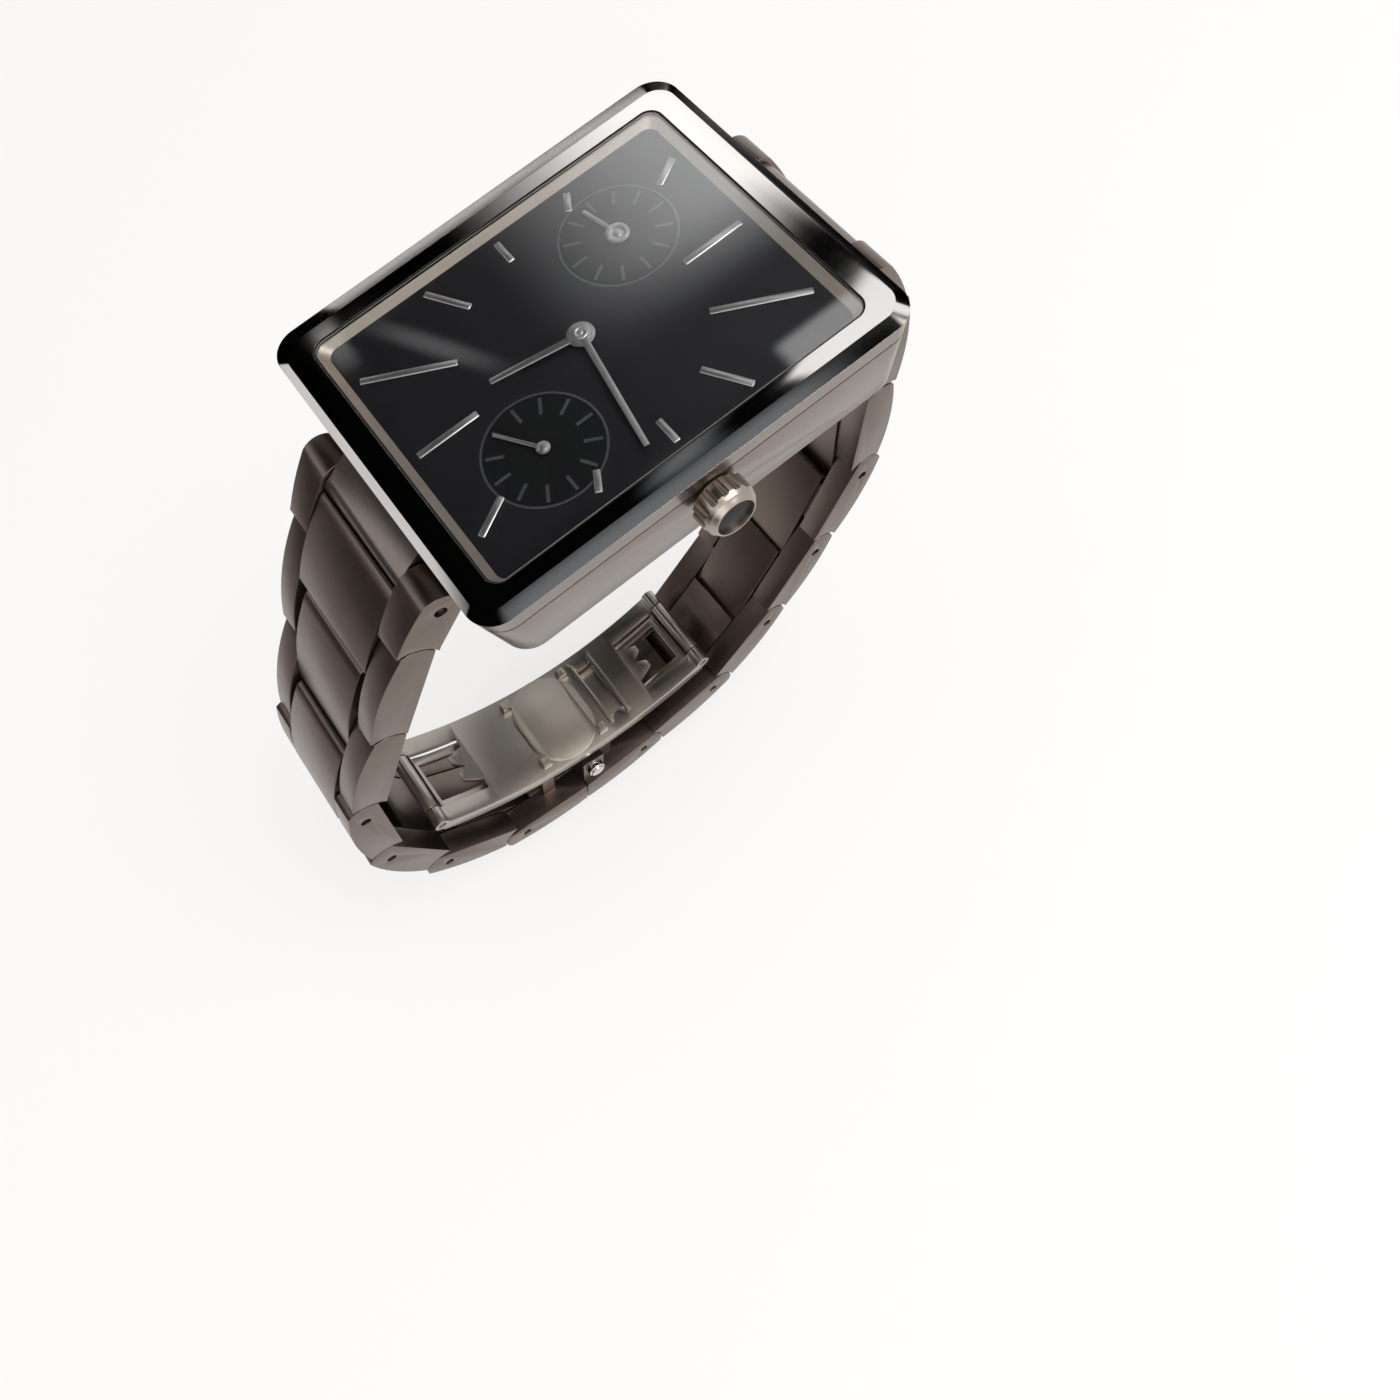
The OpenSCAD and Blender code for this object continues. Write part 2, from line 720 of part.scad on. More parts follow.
// a curved sheet along the base's arc, between two X planes and two Y planes
module curved(r0, r1, x0, x1, y0, y1) {
    intersection() {
        difference() {
            rod(r1, x0, x1, 0, base_c);
            rod(r0, x0 - 1, x1 + 1, 0, base_c);
        }
        translate([x0, y0, 0]) cube([x1 - x0, y1 - y0, knuckle_in + 0.4]);
    }
}

// ears on an end link that hold the arm's pin; s is 1 on the 12 side. The 6
// side's ears are open slots, so that its arm can lift out of them.
module arm_ears(s) {
    difference() {
        for (sx = [-1, 1])
            translate([sx * (arm_half + 0.65), 0, 0]) {
                rod(0.9, -0.5, 0.5, s * arm_pin_y, arm_pin_z);
                translate([-0.5, s * arm_pin_y - 0.9, 0.4]) cube([1, 1.8, arm_pin_z - 0.4]);
            }
        rod(arm_pin_r + (s > 0 ? eps : run_fit), -9, 9, s * arm_pin_y, arm_pin_z);
        if (s < 0)
            translate([-9, -arm_pin_y - arm_pin_r - run_fit, arm_pin_z])
                cube([18, 2 * (arm_pin_r + run_fit), 2]);
    }
}

module end_link_12() {
    color(steel) {
        difference() {
            place(12, 7) end_link(7);
            at_clasp() translate([-20, -20 + link_gap / 2, -10]) cube([40, 20, 30]);
            button_bores();
        }
        at_clasp() arm_ears(1);
        difference() {
            at_clasp() translate([-box_half, link_gap, box_z])
                cube([2 * box_half, box_len, box_top - box_z]);
            button_bores();
        }
    }
}

// the two holes in which the release buttons slide
module button_bores() {
    at_clasp() for (s = [-1, 1])
        rod(button_d / 2 + run_fit, s > 0 ? 3.2 : -9, s > 0 ? 9 : -3.2, button_y, button_z);
}

module end_link_6() {
    color(steel) {
        difference() {
            place(6, 6) end_link(7);
            at_clasp() translate([-20, -link_gap / 2, -10]) cube([40, 20, 30]);
        }
        at_clasp() arm_ears(-1);
    }
}

// the window near each end of the base plate, open up to the knuckle, with a
// toothed inner edge
window_half = arm_half + link_gap;
window_y0 = knuckle_half - 7.4;
window_y1 = knuckle_half - knuckle_r - 0.3;
tooth = 2.2;

module window(s) {
    scale([1, s, 1]) linear_extrude(knuckle_in + 9) polygon([[-window_half, window_y1],
        [window_half, window_y1], [window_half, window_y0], [0.65 * window_half, window_y0],
        [0.45 * window_half, window_y0 + tooth], [0.2 * window_half, window_y0 + tooth],
        [0, window_y0 + 0.4 * tooth], [-0.2 * window_half, window_y0 + tooth],
        [-0.45 * window_half, window_y0 + tooth], [-0.65 * window_half, window_y0],
        [-window_half, window_y0]]);
}

// a slot beside the cover, between two raised bars
slot_y = 6.2;
slot_w = 2.2;
slot_half = 5;
bar_w = 0.5;

module base_plate() {
    color(steel) at_clasp() difference() {
        union() {
            curved(base_r - sheet_t / 2, base_r + sheet_t / 2, -base_half, base_half,
                -knuckle_half, knuckle_half);
            for (s = [-1, 1]) {
                curved(base_r, base_r + 1.3, s > 0 ? base_half - 0.5 : -base_half,
                    s > 0 ? base_half : 0.5 - base_half, -knuckle_half, knuckle_half);
                rod(knuckle_r, -base_half, base_half, s * knuckle_half, knuckle_in);
            }
            for (y = [slot_y, slot_y + slot_w + bar_w])
                curved(base_r - sheet_t / 2 - 0.4, base_r, -slot_half, slot_half, y - bar_w, y);
        }
        translate([1 - slot_half, slot_y, 0])
            cube([2 * slot_half - 2, slot_w, knuckle_in + 9]);
        for (s = [-1, 1]) {
            window(s);
            rod(knuckle_r + 0.25, -arm_half - link_gap, arm_half + link_gap,
                s * knuckle_half, knuckle_in);
            rod(knuckle_pin_r + eps, -9, 9, s * knuckle_half, knuckle_in);
        }
    }
}

module clasp_cover() {
    color(steel) at_clasp() {
        intersection() {
            curved(base_r - sheet_t / 2 - 0.5, base_r - sheet_t / 2, -6.2, 6.2, -5, 5);
            union() {
                translate([0, -4.6, 0]) linear_extrude(20) hull()
                    for (sx = [-1, 1]) translate([sx * 1.6, 4.6]) circle(4.6);
            }
        }
        for (sx = [-1, 1], sy = [-1, 1])
            translate([sx * 4.9 - 0.6, sy * 4.3 - 0.6, 0]) intersection() {
                translate([0, 0, 0]) cube([1.2, 1.2, knuckle_in]);
                translate([0.6 - sx * 4.9, 0.6 - sy * 4.3, 0])
                    curved(base_r - sheet_t / 2 - 0.8, base_r - sheet_t / 2, -9, 9, -9, 9);
            }
    }
}

// an arm: a sheet under the base, a barrel at each end, and a slot that leaves a
// rail on each side under the base's window
arm_rail = 1.1;

module arm(s) {
    difference() {
        union() {
            curved(base_r + sheet_t / 2 + 0.25, base_r + 1.5 * sheet_t + 0.25, -arm_half,
                arm_half, s > 0 ? arm_pin_y - 0.4 : -knuckle_half - 0.6,
                s > 0 ? knuckle_half + 0.6 : 0.4 - arm_pin_y);
            rod(0.9, -arm_half, arm_half, s * arm_pin_y, arm_pin_z);
            rod(knuckle_r, -arm_half, arm_half, s * knuckle_half, knuckle_in);
        }
        rod(arm_pin_r + (s > 0 ? run_fit : eps), -9, 9, s * arm_pin_y, arm_pin_z);
        rod(knuckle_pin_r + run_fit, -9, 9, s * knuckle_half, knuckle_in);
        scale([1, s, 1]) translate([arm_rail - arm_half, window_y0 - 1, 0])
            cube([2 * (arm_half - arm_rail), window_y1 - window_y0 + 0.6, knuckle_in + 9]);
    }
}

module arm_12() { color(polished) at_clasp() arm(1); }
module arm_6() { color(polished) at_clasp() arm(-1); }
// the pin through an arm's outer end and the ears beside it
module arm_pin(s) {
    rod(arm_pin_r, -arm_half - 1.1, arm_half + 1.1, s * arm_pin_y, arm_pin_z);
}

module arm_pin_12() { color(polished) at_clasp() arm_pin(1); }
module arm_pin_6() { color(polished) at_clasp() arm_pin(-1); }

module knuckle_pins() {
    color(polished) at_clasp() for (s = [-1, 1])
        rod(knuckle_pin_r, 0.2 - base_half, base_half - 0.2, s * knuckle_half, knuckle_in);
}

// a release button with a rounded outer end; s is 1 on the crown side
module button(s) {
    at_clasp() rotate([0, 0, s > 0 ? 0 : 180]) translate([0, s * button_y, button_z])
        difference() {
        union() {
            rod(button_d / 2, 5, 7.5);
            rod(button_d / 2 - 0.25, 7.4, 7.75);
        }
        rod(0.7, 4, 6.5);
    }
}

module button_right() { color(polished) button(1); }
module button_left() { color(polished) button(-1); }

module button_springs() {
    color(polished) at_clasp() for (s = [-1, 1])
        difference() {
            rod(0.6, s > 0 ? 3.2 : -5.6, s > 0 ? 5.6 : -3.2, button_y, button_z);
            rod(0.35, s > 0 ? 3 : -6, s > 0 ? 6 : -3, button_y, button_z);
        }
}

case_middle();
bezel();
crystal();
crystal_gasket();
rehaut_ring();
dial();
hour_markers();
subdial_rings();
hour_hand();
minute_hand();
day_hand();
seconds_hand();
movement();
movement_holder();
battery();
case_back();
back_gasket();
back_screws();
crown();
crown_inset();
stem();
spring_bars();
first_link_12();
link_12_1();
link_12_2();
link_12_3();
link_12_4();
link_12_5();
link_12_6();
end_link_12();
first_link_6();
link_6_1();
link_6_2();
link_6_3();
link_6_4();
link_6_5();
end_link_6();
pin_12_1();
pin_12_2();
pin_12_3();
pin_12_4();
pin_12_5();
pin_12_6();
pin_12_7();
pin_6_1();
pin_6_2();
pin_6_3();
pin_6_4();
pin_6_5();
pin_6_6();
base_plate();
clasp_cover();
arm_12();
arm_6();
arm_pin_12();
arm_pin_6();
knuckle_pins();
button_right();
button_left();
button_springs();
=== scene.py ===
import json
import math

import bpy
from mathutils import Matrix, Vector

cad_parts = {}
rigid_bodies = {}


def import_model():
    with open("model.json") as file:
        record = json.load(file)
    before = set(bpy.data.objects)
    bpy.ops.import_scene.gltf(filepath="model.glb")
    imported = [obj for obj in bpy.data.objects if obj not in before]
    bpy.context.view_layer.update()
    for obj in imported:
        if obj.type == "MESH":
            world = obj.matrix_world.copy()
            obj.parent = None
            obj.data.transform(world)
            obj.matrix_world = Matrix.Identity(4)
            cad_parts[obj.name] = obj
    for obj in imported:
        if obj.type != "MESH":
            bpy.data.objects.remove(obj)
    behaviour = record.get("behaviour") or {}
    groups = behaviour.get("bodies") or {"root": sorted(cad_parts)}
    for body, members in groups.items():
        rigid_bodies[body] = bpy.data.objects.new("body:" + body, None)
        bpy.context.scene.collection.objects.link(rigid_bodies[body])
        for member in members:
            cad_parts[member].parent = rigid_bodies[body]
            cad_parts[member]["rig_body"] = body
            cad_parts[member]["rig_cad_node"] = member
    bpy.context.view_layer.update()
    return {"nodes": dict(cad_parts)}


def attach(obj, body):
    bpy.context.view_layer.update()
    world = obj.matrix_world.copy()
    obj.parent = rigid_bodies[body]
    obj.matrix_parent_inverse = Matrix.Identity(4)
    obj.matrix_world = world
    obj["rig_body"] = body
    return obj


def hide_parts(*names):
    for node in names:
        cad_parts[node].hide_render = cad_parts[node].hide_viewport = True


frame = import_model()

# The camera stands over the 5 o'clock side, close to the watch, and looks down
# across the dial. Place and axes are in the watch's own frame, in metres.
camera_data = bpy.data.cameras.new("camera")
camera_data.sensor_width = 36.0
camera_data.lens = 25.714
camera_data.clip_start = 0.002
camera = bpy.data.objects.new("camera", camera_data)
bpy.context.scene.collection.objects.link(camera)
right = Vector((0.60067, 0.78751, -0.13795))
up = Vector((-0.72973, 0.61052, 0.30784))
back = Vector((0.32665, -0.08424, 0.94138))
eye = Vector((0.05308, -0.01707, 0.07298))
turn = Matrix((right, up, back)).transposed().to_4x4()
camera.matrix_world = Matrix.Translation(eye) @ turn
bpy.context.scene.camera = camera
bpy.context.scene.view_settings.view_transform = "Standard"


# The studio is a white surround with a pale floor under the bracelet. The
# background is white for the camera and in mirrors and glass, and a softer
# gradient lights the matt surfaces.
def linear(hex_code):
    out = []
    for i in (0, 2, 4):
        c = int(hex_code[i:i + 2], 16) / 255
        out.append(c / 12.92 if c <= 0.04045 else ((c + 0.055) / 1.055) ** 2.4)
    return (*out, 1.0)


def clear_nodes(tree):
    for old in list(tree.nodes):
        tree.nodes.remove(old)
    return tree


def new_material(name):
    material = bpy.data.materials.new(name)
    material.use_nodes = True
    return material, clear_nodes(material.node_tree)


def add(tree, kind, links=(), **settings):
    """one node: in_N sets input N, links are (from node, its output, this input)"""
    made = tree.nodes.new(kind)
    for key, value in settings.items():
        if key.startswith("in_"):
            made.inputs[int(key[3:])].default_value = value
        else:
            setattr(made, key, value)
    for source, socket, target in links:
        tree.links.new(source.outputs[socket], made.inputs[target])
    return made


def looked_at(tree):
    """1 for the rays that show the background: straight, mirrored or through glass"""
    path = add(tree, "ShaderNodeLightPath")
    either = add(tree, "ShaderNodeMath", [(path, "Is Camera Ray", 0),
                 (path, "Is Transmission Ray", 1)], operation="MAXIMUM")
    return add(tree, "ShaderNodeMath", [(either, 0, 0), (path, "Is Glossy Ray", 1)],
               operation="MAXIMUM")


WHITE = (1, 1, 1, 1)

world = bpy.data.worlds.new("studio")
world.use_nodes = True
bpy.context.scene.world = world
tree = clear_nodes(world.node_tree)
seen = add(tree, "ShaderNodeBackground", in_0=WHITE, in_1=1.0)
place = add(tree, "ShaderNodeTexCoord")
height = add(tree, "ShaderNodeSeparateXYZ", [(place, "Generated", 0)])
sky = add(tree, "ShaderNodeMapRange", [(height, 2, 0)],
          in_1=-0.1, in_2=0.9, in_3=0.3, in_4=0.8)
lit = add(tree, "ShaderNodeBackground", [(sky, 0, 1)], in_0=linear("efebe6"))
both = add(tree, "ShaderNodeMixShader", [(looked_at(tree), 0, 0), (lit, 0, 1), (seen, 0, 2)])
add(tree, "ShaderNodeOutputWorld", [(both, 0, 0)])

FLOOR_Z = -0.0672
FLOOR_SIZE = 3
FLOOR_WHITE = 0.7

bpy.ops.object.select_all(action="DESELECT")
bpy.ops.mesh.primitive_plane_add(size=FLOOR_SIZE)
floor = bpy.context.object
floor.name = "floor"
floor.data.transform(Matrix.Translation((0, 0, FLOOR_Z)))
material, tree = new_material("floor")
cloud = add(tree, "ShaderNodeTexNoise", in_2=3.0, in_3=3.0)
tint = add(tree, "ShaderNodeMixRGB", [(cloud, 0, 0)], in_1=linear("f4f3f3"),
           in_2=linear("efeeee"))
shade = add(tree, "ShaderNodeBsdfPrincipled", [(tint, 0, "Base Color")], in_2=0.6)
white = add(tree, "ShaderNodeEmission", in_0=WHITE, in_1=1.0)
part = add(tree, "ShaderNodeMath", [(looked_at(tree), 0, 0)],
           operation="MULTIPLY", in_1=FLOOR_WHITE)
both = add(tree, "ShaderNodeMixShader", [(part, 0, 0), (shade, 0, 1), (white, 0, 2)])
add(tree, "ShaderNodeOutputMaterial", [(both, 0, 0)])
floor.data.materials.append(material)

for name, spot, size, power, tone in (
        ("key", (0.25, 0.3, 0.6), 0.5, 3.5, (1, 0.98, 0.95)),
        ("fill", (0.55, -0.35, 0.3), 0.5, 1.0, (1, 1, 1))):
    lamp = bpy.data.lights.new(name, "AREA")
    lamp.size = size
    lamp.energy = power
    lamp.color = tone
    holder = bpy.data.objects.new(name, lamp)
    bpy.context.scene.collection.objects.link(holder)
    aim = Vector(spot).to_track_quat("Z", "Y").to_matrix().to_4x4()
    holder.matrix_world = Matrix.Translation(spot) @ aim

# The panels are only there for mirrored rays. Bright ones hang level where the
# bezel and the crystal mirror them, one wide dark flag above them gives the
# polished steel its black side, and two upright ones face the 6 side's links.
PANEL_Z = 0.509
BEZEL_TOP = 0.0088
FLAG_LIFT = 0.01
MM = 0.001
COOL = (0.85, 0.93, 1, 1)


def panel(name, low, high, strength, fade=(0, 0), tilt=0.0, color=WHITE, lift=0.0,
          upright=None):
    """low and high are the corners of what the level bezel mirrors, in mm on the dial,
    or of an upright panel that faces the 6 side's links from y = upright, in mm"""
    bpy.ops.object.select_all(action="DESELECT")
    bpy.ops.mesh.primitive_plane_add(size=1)
    made = bpy.context.object
    made.name = name
    wide, deep = [(high[i] - low[i]) * MM for i in (0, 1)]
    x, y = [(high[i] + low[i]) * MM / 2 for i in (0, 1)]
    if upright is None:
        grow = (PANEL_Z + lift - BEZEL_TOP) / (eye.z - BEZEL_TOP)
        wide, deep = wide * (1 + grow), deep * (1 + grow)
        spot = Vector((x + (x - eye.x) * grow, y + (y - eye.y) * grow, PANEL_Z + lift))
        stand = 0
    else:
        spot = Vector((x, upright * MM, y))
        stand = 90
    made.data.transform(Matrix.Translation(spot)
                        @ Matrix.Rotation(math.radians(tilt), 4, "Z")
                        @ Matrix.Rotation(math.radians(stand), 4, "X")
                        @ Matrix.Diagonal((wide, deep, 1, 1)))
    material, tree = new_material(name)
    glow = add(tree, "ShaderNodeEmission", in_0=color, in_1=strength)
    if max(fade) > 0:
        place = add(tree, "ShaderNodeTexCoord")
        uv = add(tree, "ShaderNodeSeparateXYZ", [(place, "UV", 0)])
        sides = []
        for axis in (0, 1):
            far = add(tree, "ShaderNodeMath", [(uv, axis, 0)],
                      operation="SUBTRACT", in_1=0.5)
            far = add(tree, "ShaderNodeMath", [(far, 0, 0)], operation="ABSOLUTE")
            sides.append(add(tree, "ShaderNodeMapRange", [(far, 0, 0)], in_1=0.5,
                             in_2=0.499 - fade[axis], interpolation_type="SMOOTHSTEP"))
        soft = add(tree, "ShaderNodeMath", [(sides[0], 0, 0), (sides[1], 0, 1)],
                   operation="MULTIPLY")
        fading = add(tree, "ShaderNodeMath", [(soft, 0, 0)],
                     operation="MULTIPLY", in_1=strength)
        tree.links.new(fading.outputs[0], glow.inputs[1])
    clear = add(tree, "ShaderNodeBsdfTransparent")
    path = add(tree, "ShaderNodeLightPath")
    shown = add(tree, "ShaderNodeMixShader", [(path, "Is Glossy Ray", 0), (clear, 0, 1),
                                              (glow, 0, 2)])
    add(tree, "ShaderNodeOutputMaterial", [(shown, 0, 0)])
    made.data.materials.append(material)


panel("soft_box", (-30, -3.2), (6, 41), 1.75, fade=(0.28, 0.49))
panel("small_box", (11.5, 9.5), (30, 34), 1.4, fade=(0.06, 0.06))
panel("dark_flag", (-70, -60), (60, 80), 0.0, lift=FLAG_LIFT)
panel("side_line", (-55.9, -14), (-54.5, 34), 1.8)
panel("corner_box", (-58, 38), (-46, 60), 0.5, fade=(0.2, 0.2))
panel("bevel_box", (30.2, 17), (37, 36), 1.4, fade=(0.1, 0.2))
panel("end_box", (-34, -50), (14, -43), 1.0, fade=(0.2, 0.2))
panel("far_box", (-45, 62), (10, 70), 0.12, fade=(0.2, 0.2))
panel("front_low", (-450, -66), (160, -18), 0.42, color=(1, 0.9, 0.86, 1), upright=-140)
panel("front_dark", (-450, -18), (160, 62), 0.06, color=(1, 0.8, 0.7, 1), upright=-140)
panel("crown_line", (31, -24), (35, 14), 0.28, fade=(0.2, 0.2), color=COOL)
panel("crown_cloud", (13, -6), (19, 4), 0.22, fade=(0.45, 0.45), color=COOL)
panel("low_strip", (-17, -17.5), (-9, -14.5), 0.5, fade=(0.4, 0.4))
panel("slant_strip", (-16, -11), (2, -8.4), 0.4, fade=(0.45, 0.45), tilt=28)

# The case is a satin steel middle with leaning walls and a pressed-in back. Its
# brush lines run along the watch's width, and its edges are broken by a fine
# polish. Brush lines are a third of a millimetre apart and some 17 mm long.
LINES_PER_M = 3000.0
RUNS_PER_M = 60.0
PATCHES_PER_M = 180.0
GRAIN_DEPTH = 0.00002
WEAR = 0.15
FINE_EDGE = 0.00008
HAND_EDGE = 0.00005
TURNED_EDGE = 0.0001


def steel(name, color, dark, rough, grain_axis, grain=0.06):
    material, tree = new_material(name)
    place = add(tree, "ShaderNodeTexCoord")
    stretch = [LINES_PER_M] * 3
    stretch[grain_axis] = RUNS_PER_M
    lines = add(tree, "ShaderNodeMapping", [(place, "Object", 0)], in_3=stretch)
    brush = add(tree, "ShaderNodeTexNoise", [(lines, 0, 0)], in_2=1.0, in_3=4.0)
    spots = add(tree, "ShaderNodeTexNoise", [(place, "Object", 0)],
                in_2=PATCHES_PER_M, in_3=3.0)
    tint = add(tree, "ShaderNodeMixRGB", [(spots, 0, 0)], in_1=linear(color),
               in_2=linear(dark))
    fine = add(tree, "ShaderNodeMapRange", [(brush, 0, 0)], in_3=rough * (1 - WEAR),
               in_4=rough * (1 + WEAR))
    bump = add(tree, "ShaderNodeBump", [(brush, 0, 2)], in_0=grain, in_1=GRAIN_DEPTH)
    shade = add(tree, "ShaderNodeBsdfPrincipled",
                [(tint, 0, "Base Color"), (fine, 0, "Roughness"), (bump, 0, "Normal")])
    shade.inputs["Metallic"].default_value = 1.0
    add(tree, "ShaderNodeOutputMaterial", [(shade, 0, 0)])
    return material


def dress(node, material):
    for slot in frame["nodes"][node].material_slots:
        slot.material = material


def finished(node, material, edge, steps=2, limit=32, above=-1.0, below=1.0):
    """a copy of the solid, its sharp edges between two heights rounded, in its own place"""
    bpy.ops.object.select_all(action="DESELECT")
    solid = frame["nodes"][node]
    body = solid["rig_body"]
    solid.select_set(True)
    bpy.context.view_layer.objects.active = solid
    bpy.ops.object.duplicate()
    piece = bpy.context.object
    piece.name = node + "_steel"
    piece.parent = None
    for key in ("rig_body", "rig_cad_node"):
        del piece[key]
    bpy.ops.object.mode_set(mode="EDIT")
    bpy.ops.mesh.select_all(action="SELECT")
    bpy.ops.mesh.remove_doubles(threshold=0.000004)
    bpy.ops.mesh.dissolve_limited(angle_limit=math.radians(1.0))
    bpy.ops.mesh.select_mode(type="EDGE")
    bpy.ops.mesh.select_all(action="DESELECT")
    bpy.ops.mesh.edges_select_sharp(sharpness=math.radians(limit))
    bpy.ops.object.mode_set(mode="OBJECT")
    points = piece.data.vertices
    for line in piece.data.edges:
        heights = [points[i].co.z for i in line.vertices]
        if max(heights) < above or min(heights) > below:
            line.select = False
    bpy.ops.object.mode_set(mode="EDIT")
    bpy.ops.transform.edge_bevelweight(value=1.0)
    bpy.ops.object.mode_set(mode="OBJECT")
    bevel = piece.modifiers.new("edge", "BEVEL")
    bevel.width = edge
    bevel.segments = steps
    bevel.limit_method = "WEIGHT"
    bpy.ops.object.modifier_apply(modifier="edge")
    bpy.ops.object.shade_smooth_by_angle(angle=math.radians(limit))
    piece.data.materials.clear()
    piece.data.materials.append(material)
    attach(piece, body)
    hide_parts(node)
    return piece


satin_wall = steel("satin_wall", "8f8680", "837a73", 0.3, 0)
finished("case_middle", satin_wall, FINE_EDGE, below=0.0066)
finished("case_back", satin_wall, TURNED_EDGE)

# The bezel is a steel frame pressed on the case. Its top and bevels are polished
# to a near mirror with faint wear, and its walls are satin like the case's.
mirror = steel("mirror_steel", "cfcbc8", "c4c0bd", 0.06, 1, 0.01)
bezel = finished("bezel", mirror, 0.00012, 3, 5, above=0.0074)
bezel.data.materials.append(satin_wall)
for face in bezel.data.polygons:
    if abs(face.normal.z) < 0.5:
        face.material_index = 1

# The crystal is a flat sapphire plate, clear through its polished faces and
# ground at its sides.
material, tree = new_material("sapphire")
glass = add(tree, "ShaderNodeBsdfPrincipled", in_2=0.02, in_3=1.77)
glass.inputs["Transmission Weight"].default_value = 1.0
glass.inputs["Base Color"].default_value = (0.93, 0.94, 0.95, 1)
clear = add(tree, "ShaderNodeBsdfTransparent", in_0=(0.86, 0.87, 0.88, 1))
path = add(tree, "ShaderNodeLightPath")
inner = add(tree, "ShaderNodeMixShader", [(path, "Is Shadow Ray", 0), (glass, 0, 1),
                                          (clear, 0, 2)])
ground = add(tree, "ShaderNodeBsdfPrincipled", in_0=linear("b9b2ab"), in_2=0.5)
facing = add(tree, "ShaderNodeNewGeometry")
axes = add(tree, "ShaderNodeSeparateXYZ", [(facing, "True Normal", 0)])
up_down = add(tree, "ShaderNodeMath", [(axes, 2, 0)], operation="ABSOLUTE")
flat = add(tree, "ShaderNodeMath", [(up_down, 0, 0)], operation="GREATER_THAN", in_1=0.7)
both = add(tree, "ShaderNodeMixShader", [(flat, 0, 0), (ground, 0, 1), (inner, 0, 2)])
add(tree, "ShaderNodeOutputMaterial", [(both, 0, 0)])
dress("crystal", material)

# The dial is a black lacquered brass plate with a faint satin sheen and a deeper
# black on its two small dials. Their rings are printed, and the sloped band
# round the dial is satin steel.
DISC_RADIUS = 0.0051
DIAL_Z_MM = 7.4

material, tree = new_material("dial_lacquer")
place = add(tree, "ShaderNodeTexCoord")
cloud = add(tree, "ShaderNodeTexNoise", [(place, "Object", 0)], in_2=60.0, in_3=4.0)
tint = add(tree, "ShaderNodeMixRGB", [(cloud, 0, 0)], in_1=linear("17161a"),
           in_2=linear("101014"))
discs = []
for x, y in ((-6.2, 8.1), (6.35, -8.2)):
    away = add(tree, "ShaderNodeVectorMath", [(place, "Object", 0)], operation="DISTANCE",
               in_1=Vector((x, y, DIAL_Z_MM)) * MM)
    discs.append(add(tree, "ShaderNodeMath", [(away, "Value", 0)],
                     operation="LESS_THAN", in_1=DISC_RADIUS))
either = add(tree, "ShaderNodeMath", [(discs[0], 0, 0), (discs[1], 0, 1)],
             operation="MAXIMUM")
tint = add(tree, "ShaderNodeMixRGB", [(either, 0, 0), (tint, 0, 1)], in_2=linear("08080a"))
shade = add(tree, "ShaderNodeBsdfPrincipled", [(tint, 0, "Base Color")], in_2=0.35)
add(tree, "ShaderNodeOutputMaterial", [(shade, 0, 0)])
dress("dial", material)
dress("subdial_rings", steel("ring_print", "7a7a7e", "6a6a6e", 0.45, 1, 0.02))
dress("rehaut_ring", steel("rehaut_satin", "c4b9ad", "b3a89d", 0.42, 1, 0.03))

# The markers and hands are rhodium-plated batons with broken edges, muted by a
# fine satin finish.
silver = steel("silver_trim", "dcdad8", "c8c6c4", 0.3, 1, 0.02)
finished("hour_markers", silver, FINE_EDGE)
for node in ("hour_hand", "minute_hand", "day_hand", "seconds_hand"):
    finished(node, silver, HAND_EDGE)


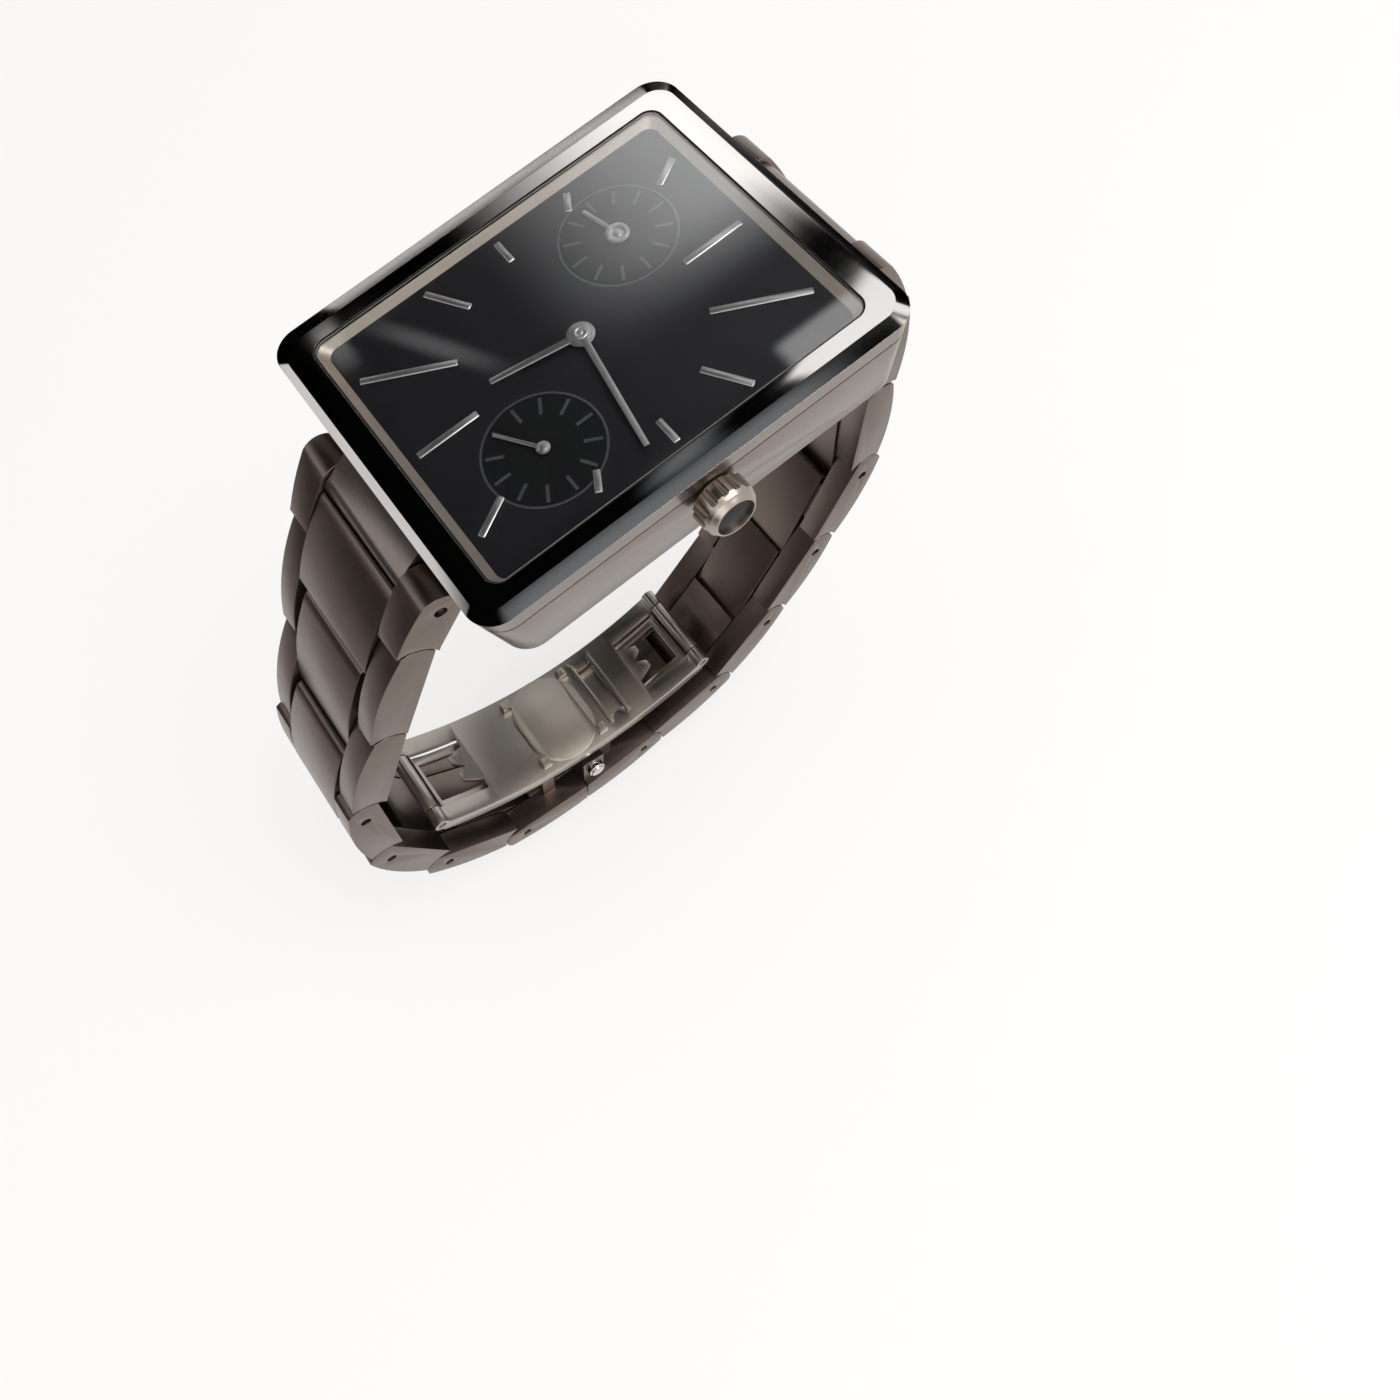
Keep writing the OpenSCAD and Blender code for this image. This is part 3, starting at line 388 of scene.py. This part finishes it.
# The crown is a fluted polished knob with a black inlay in its recessed end.
def plain(name, color, dark, rough, metallic=0.0, shine=0.5):
    material, tree = new_material(name)
    place = add(tree, "ShaderNodeTexCoord")
    cloud = add(tree, "ShaderNodeTexNoise", [(place, "Object", 0)], in_2=400.0, in_3=3.0)
    tint = add(tree, "ShaderNodeMixRGB", [(cloud, 0, 0)], in_1=linear(color),
               in_2=linear(dark))
    bump = add(tree, "ShaderNodeBump", [(cloud, 0, 2)], in_0=0.05, in_1=GRAIN_DEPTH)
    shade = add(tree, "ShaderNodeBsdfPrincipled",
                [(tint, 0, "Base Color"), (bump, 0, "Normal")])
    shade.inputs["Roughness"].default_value = rough
    shade.inputs["Metallic"].default_value = metallic
    shade.inputs["Specular IOR Level"].default_value = shine
    add(tree, "ShaderNodeOutputMaterial", [(shade, 0, 0)])
    return material


crown_steel = steel("crown_steel", "ada298", "9a8f86", 0.3, 0, 0.02)
finished("crown", crown_steel, TURNED_EDGE, 3)
black_inlay = plain("black_inlay", "141213", "0c0b0c", 0.45, shine=0.25)
finished("crown_inset", black_inlay, HAND_EDGE)

# The bracelet is of solid satin links in three rows, brushed across, with
# broken edges.
LINK_EDGE = 0.00018

satin = steel("satin_steel", "7d7169", "6d625b", 0.32, 0)
for node in list(frame["nodes"]):
    if node.startswith(("link_", "first_link", "end_link")):
        finished(node, satin, LINK_EDGE, 3)

# The pins, spring bars, screws and stem are turned steel. The battery's can and
# the button springs share their finish.
pin_steel = steel("pin_steel", "8a8784", "6f6c6a", 0.3, 0)
for node in frame["nodes"]:
    if node.startswith("pin_") or node.endswith(("_pins", "_pin_12", "_pin_6")):
        dress(node, pin_steel)
for node in ("spring_bars", "back_screws", "stem", "button_springs", "battery"):
    dress(node, pin_steel)

# The clasp is pressed and polished sheet steel, worn to a soft shine, with a
# slightly brighter cover and mirror-polished push buttons.
sheet_steel = steel("sheet_steel", "b3aca4", "a29b93", 0.3, 1, 0.02)
for node in ("base_plate", "arm_12", "arm_6"):
    finished(node, sheet_steel, FINE_EDGE)
cover_steel = steel("cover_steel", "c4bcb2", "b2aaa0", 0.34, 0, 0.02)
finished("clasp_cover", cover_steel, FINE_EDGE)
for node in ("button_right", "button_left"):
    finished(node, mirror, TURNED_EDGE)

# Inside are rubber seals, the plated movement and its plastic holder.
rubber = plain("seal_rubber", "1c1c1d", "121213", 0.7)
dress("crystal_gasket", rubber)
dress("back_gasket", rubber)
dress("movement", plain("movement_plate", "b79c5e", "a48a50", 0.35, 1.0))
dress("movement_holder", plain("holder_plastic", "d9d8d2", "cbcac4", 0.5))
